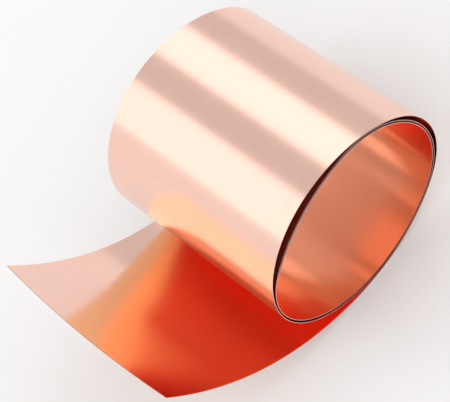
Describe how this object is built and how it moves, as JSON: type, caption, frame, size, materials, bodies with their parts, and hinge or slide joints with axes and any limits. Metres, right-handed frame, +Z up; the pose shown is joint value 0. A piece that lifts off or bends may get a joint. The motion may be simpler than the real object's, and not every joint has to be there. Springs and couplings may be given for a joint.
{
  "type": "copper strip roll",
  "caption": "Loose roll of bare copper strip lying on its side, with the outer end standing off as a curved tail and the inner end free inside.",
  "frame": {"origin": "on the surface that the roll lies on, under the middle of its box", "axes": "+Z up, +Y along the roll from its near end to its far end, -X towards the free outer end of the strip"},
  "size_m": [0.1566, 0.1, 0.0945],
  "materials": {
    "copper_strip": "bright rolled copper, lightly tarnished"
  },
  "bodies": {
    "coil": {"tail_root": "copper_strip", "outer_turn_1": "copper_strip", "outer_turn_2": "copper_strip", "outer_turn_3": "copper_strip", "outer_turn_4": "copper_strip", "outer_turn_5": "copper_strip", "outer_turn_6": "copper_strip", "outer_turn_7": "copper_strip", "outer_turn_8": "copper_strip", "middle_turn_1": "copper_strip", "middle_turn_2": "copper_strip", "middle_turn_3": "copper_strip", "middle_turn_4": "copper_strip", "middle_turn_5": "copper_strip", "middle_turn_6": "copper_strip", "middle_turn_7": "copper_strip", "middle_turn_8": "copper_strip", "inner_turn_1": "copper_strip", "inner_turn_2": "copper_strip", "inner_turn_3": "copper_strip", "inner_turn_4": "copper_strip"},
    "tail_1": {"tail_1": "copper_strip"},
    "tail_2": {"tail_2": "copper_strip"},
    "tail_3": {"tail_3": "copper_strip"},
    "tail_4": {"tail_4": "copper_strip"},
    "tail_5": {"tail_5": "copper_strip"},
    "tail_6": {"tail_6": "copper_strip"},
    "tail_7": {"tail_7": "copper_strip"},
    "tail_8": {"tail_8": "copper_strip"},
    "inner_end_1": {"inner_end_1": "copper_strip"},
    "inner_end_2": {"inner_end_2": "copper_strip"},
    "inner_end_3": {"inner_end_3": "copper_strip"},
    "inner_end_4": {"inner_end_4": "copper_strip"}
  },
  "joints": [
    {"name": "tail_flex_1", "type": "hinge", "parent": "coil", "child": "tail_1", "pos_m": [0.00755, 0, 0.00139], "axis": [0, 1, 0], "range_deg": [-9, 10], "stiffness_Nm_per_rad": 0.524, "springref_deg": 1.11},
    {"name": "tail_flex_2", "type": "hinge", "parent": "tail_1", "child": "tail_2", "pos_m": [-0.00681, 0, 0.00524], "axis": [0, 1, 0], "range_deg": [-9, 10], "stiffness_Nm_per_rad": 0.524, "springref_deg": 0.81},
    {"name": "tail_flex_3", "type": "hinge", "parent": "tail_2", "child": "tail_3", "pos_m": [-0.02038, 0, 0.01133], "axis": [0, 1, 0], "range_deg": [-9, 10], "stiffness_Nm_per_rad": 0.524, "springref_deg": 0.56},
    {"name": "tail_flex_4", "type": "hinge", "parent": "tail_3", "child": "tail_4", "pos_m": [-0.03292, 0, 0.01934], "axis": [0, 1, 0], "range_deg": [-9, 10], "stiffness_Nm_per_rad": 0.524, "springref_deg": 0.36},
    {"name": "tail_flex_5", "type": "hinge", "parent": "tail_4", "child": "tail_5", "pos_m": [-0.04429, 0, 0.02894], "axis": [0, 1, 0], "range_deg": [-9, 10], "stiffness_Nm_per_rad": 0.524, "springref_deg": 0.21},
    {"name": "tail_flex_6", "type": "hinge", "parent": "tail_5", "child": "tail_6", "pos_m": [-0.05445, 0, 0.03982], "axis": [0, 1, 0], "range_deg": [-9, 10], "stiffness_Nm_per_rad": 0.524, "springref_deg": 0.11},
    {"name": "tail_flex_7", "type": "hinge", "parent": "tail_6", "child": "tail_7", "pos_m": [-0.06342, 0, 0.05169], "axis": [0, 1, 0], "range_deg": [-9, 10], "stiffness_Nm_per_rad": 0.524, "springref_deg": 0.05},
    {"name": "tail_flex_8", "type": "hinge", "parent": "tail_7", "child": "tail_8", "pos_m": [-0.07128, 0, 0.06433], "axis": [0, 1, 0], "range_deg": [-9, 10], "stiffness_Nm_per_rad": 0.524, "springref_deg": 0.01},
    {"name": "inner_flex_1", "type": "hinge", "parent": "coil", "child": "inner_end_1", "pos_m": [0.03454, 0, 0.0897], "axis": [0, -1, 0], "range_deg": [0, 12], "stiffness_Nm_per_rad": 0.567, "springref_deg": -2.86},
    {"name": "inner_flex_2", "type": "hinge", "parent": "inner_end_1", "child": "inner_end_2", "pos_m": [0.02091, 0, 0.08813], "axis": [0, -1, 0], "range_deg": [0, 12], "stiffness_Nm_per_rad": 0.567, "springref_deg": -2.86},
    {"name": "inner_flex_3", "type": "hinge", "parent": "inner_end_2", "child": "inner_end_3", "pos_m": [0.00794, 0, 0.08365], "axis": [0, -1, 0], "range_deg": [0, 12], "stiffness_Nm_per_rad": 0.567, "springref_deg": -2.86},
    {"name": "inner_flex_4", "type": "hinge", "parent": "inner_end_3", "child": "inner_end_4", "pos_m": [-0.00381, 0, 0.07655], "axis": [0, -1, 0], "range_deg": [0, 12], "stiffness_Nm_per_rad": 0.567, "springref_deg": -2.86}
  ],
  "couplings": [
    {"joint": "tail_flex_2", "follows": "tail_flex_1", "ratio": 1},
    {"joint": "tail_flex_3", "follows": "tail_flex_1", "ratio": 1},
    {"joint": "tail_flex_4", "follows": "tail_flex_1", "ratio": 1},
    {"joint": "tail_flex_5", "follows": "tail_flex_1", "ratio": 1},
    {"joint": "tail_flex_6", "follows": "tail_flex_1", "ratio": 1},
    {"joint": "tail_flex_7", "follows": "tail_flex_1", "ratio": 1},
    {"joint": "tail_flex_8", "follows": "tail_flex_1", "ratio": 1},
    {"joint": "inner_flex_2", "follows": "inner_flex_1", "ratio": 1},
    {"joint": "inner_flex_3", "follows": "inner_flex_1", "ratio": 1},
    {"joint": "inner_flex_4", "follows": "inner_flex_1", "ratio": 1}
  ]
}
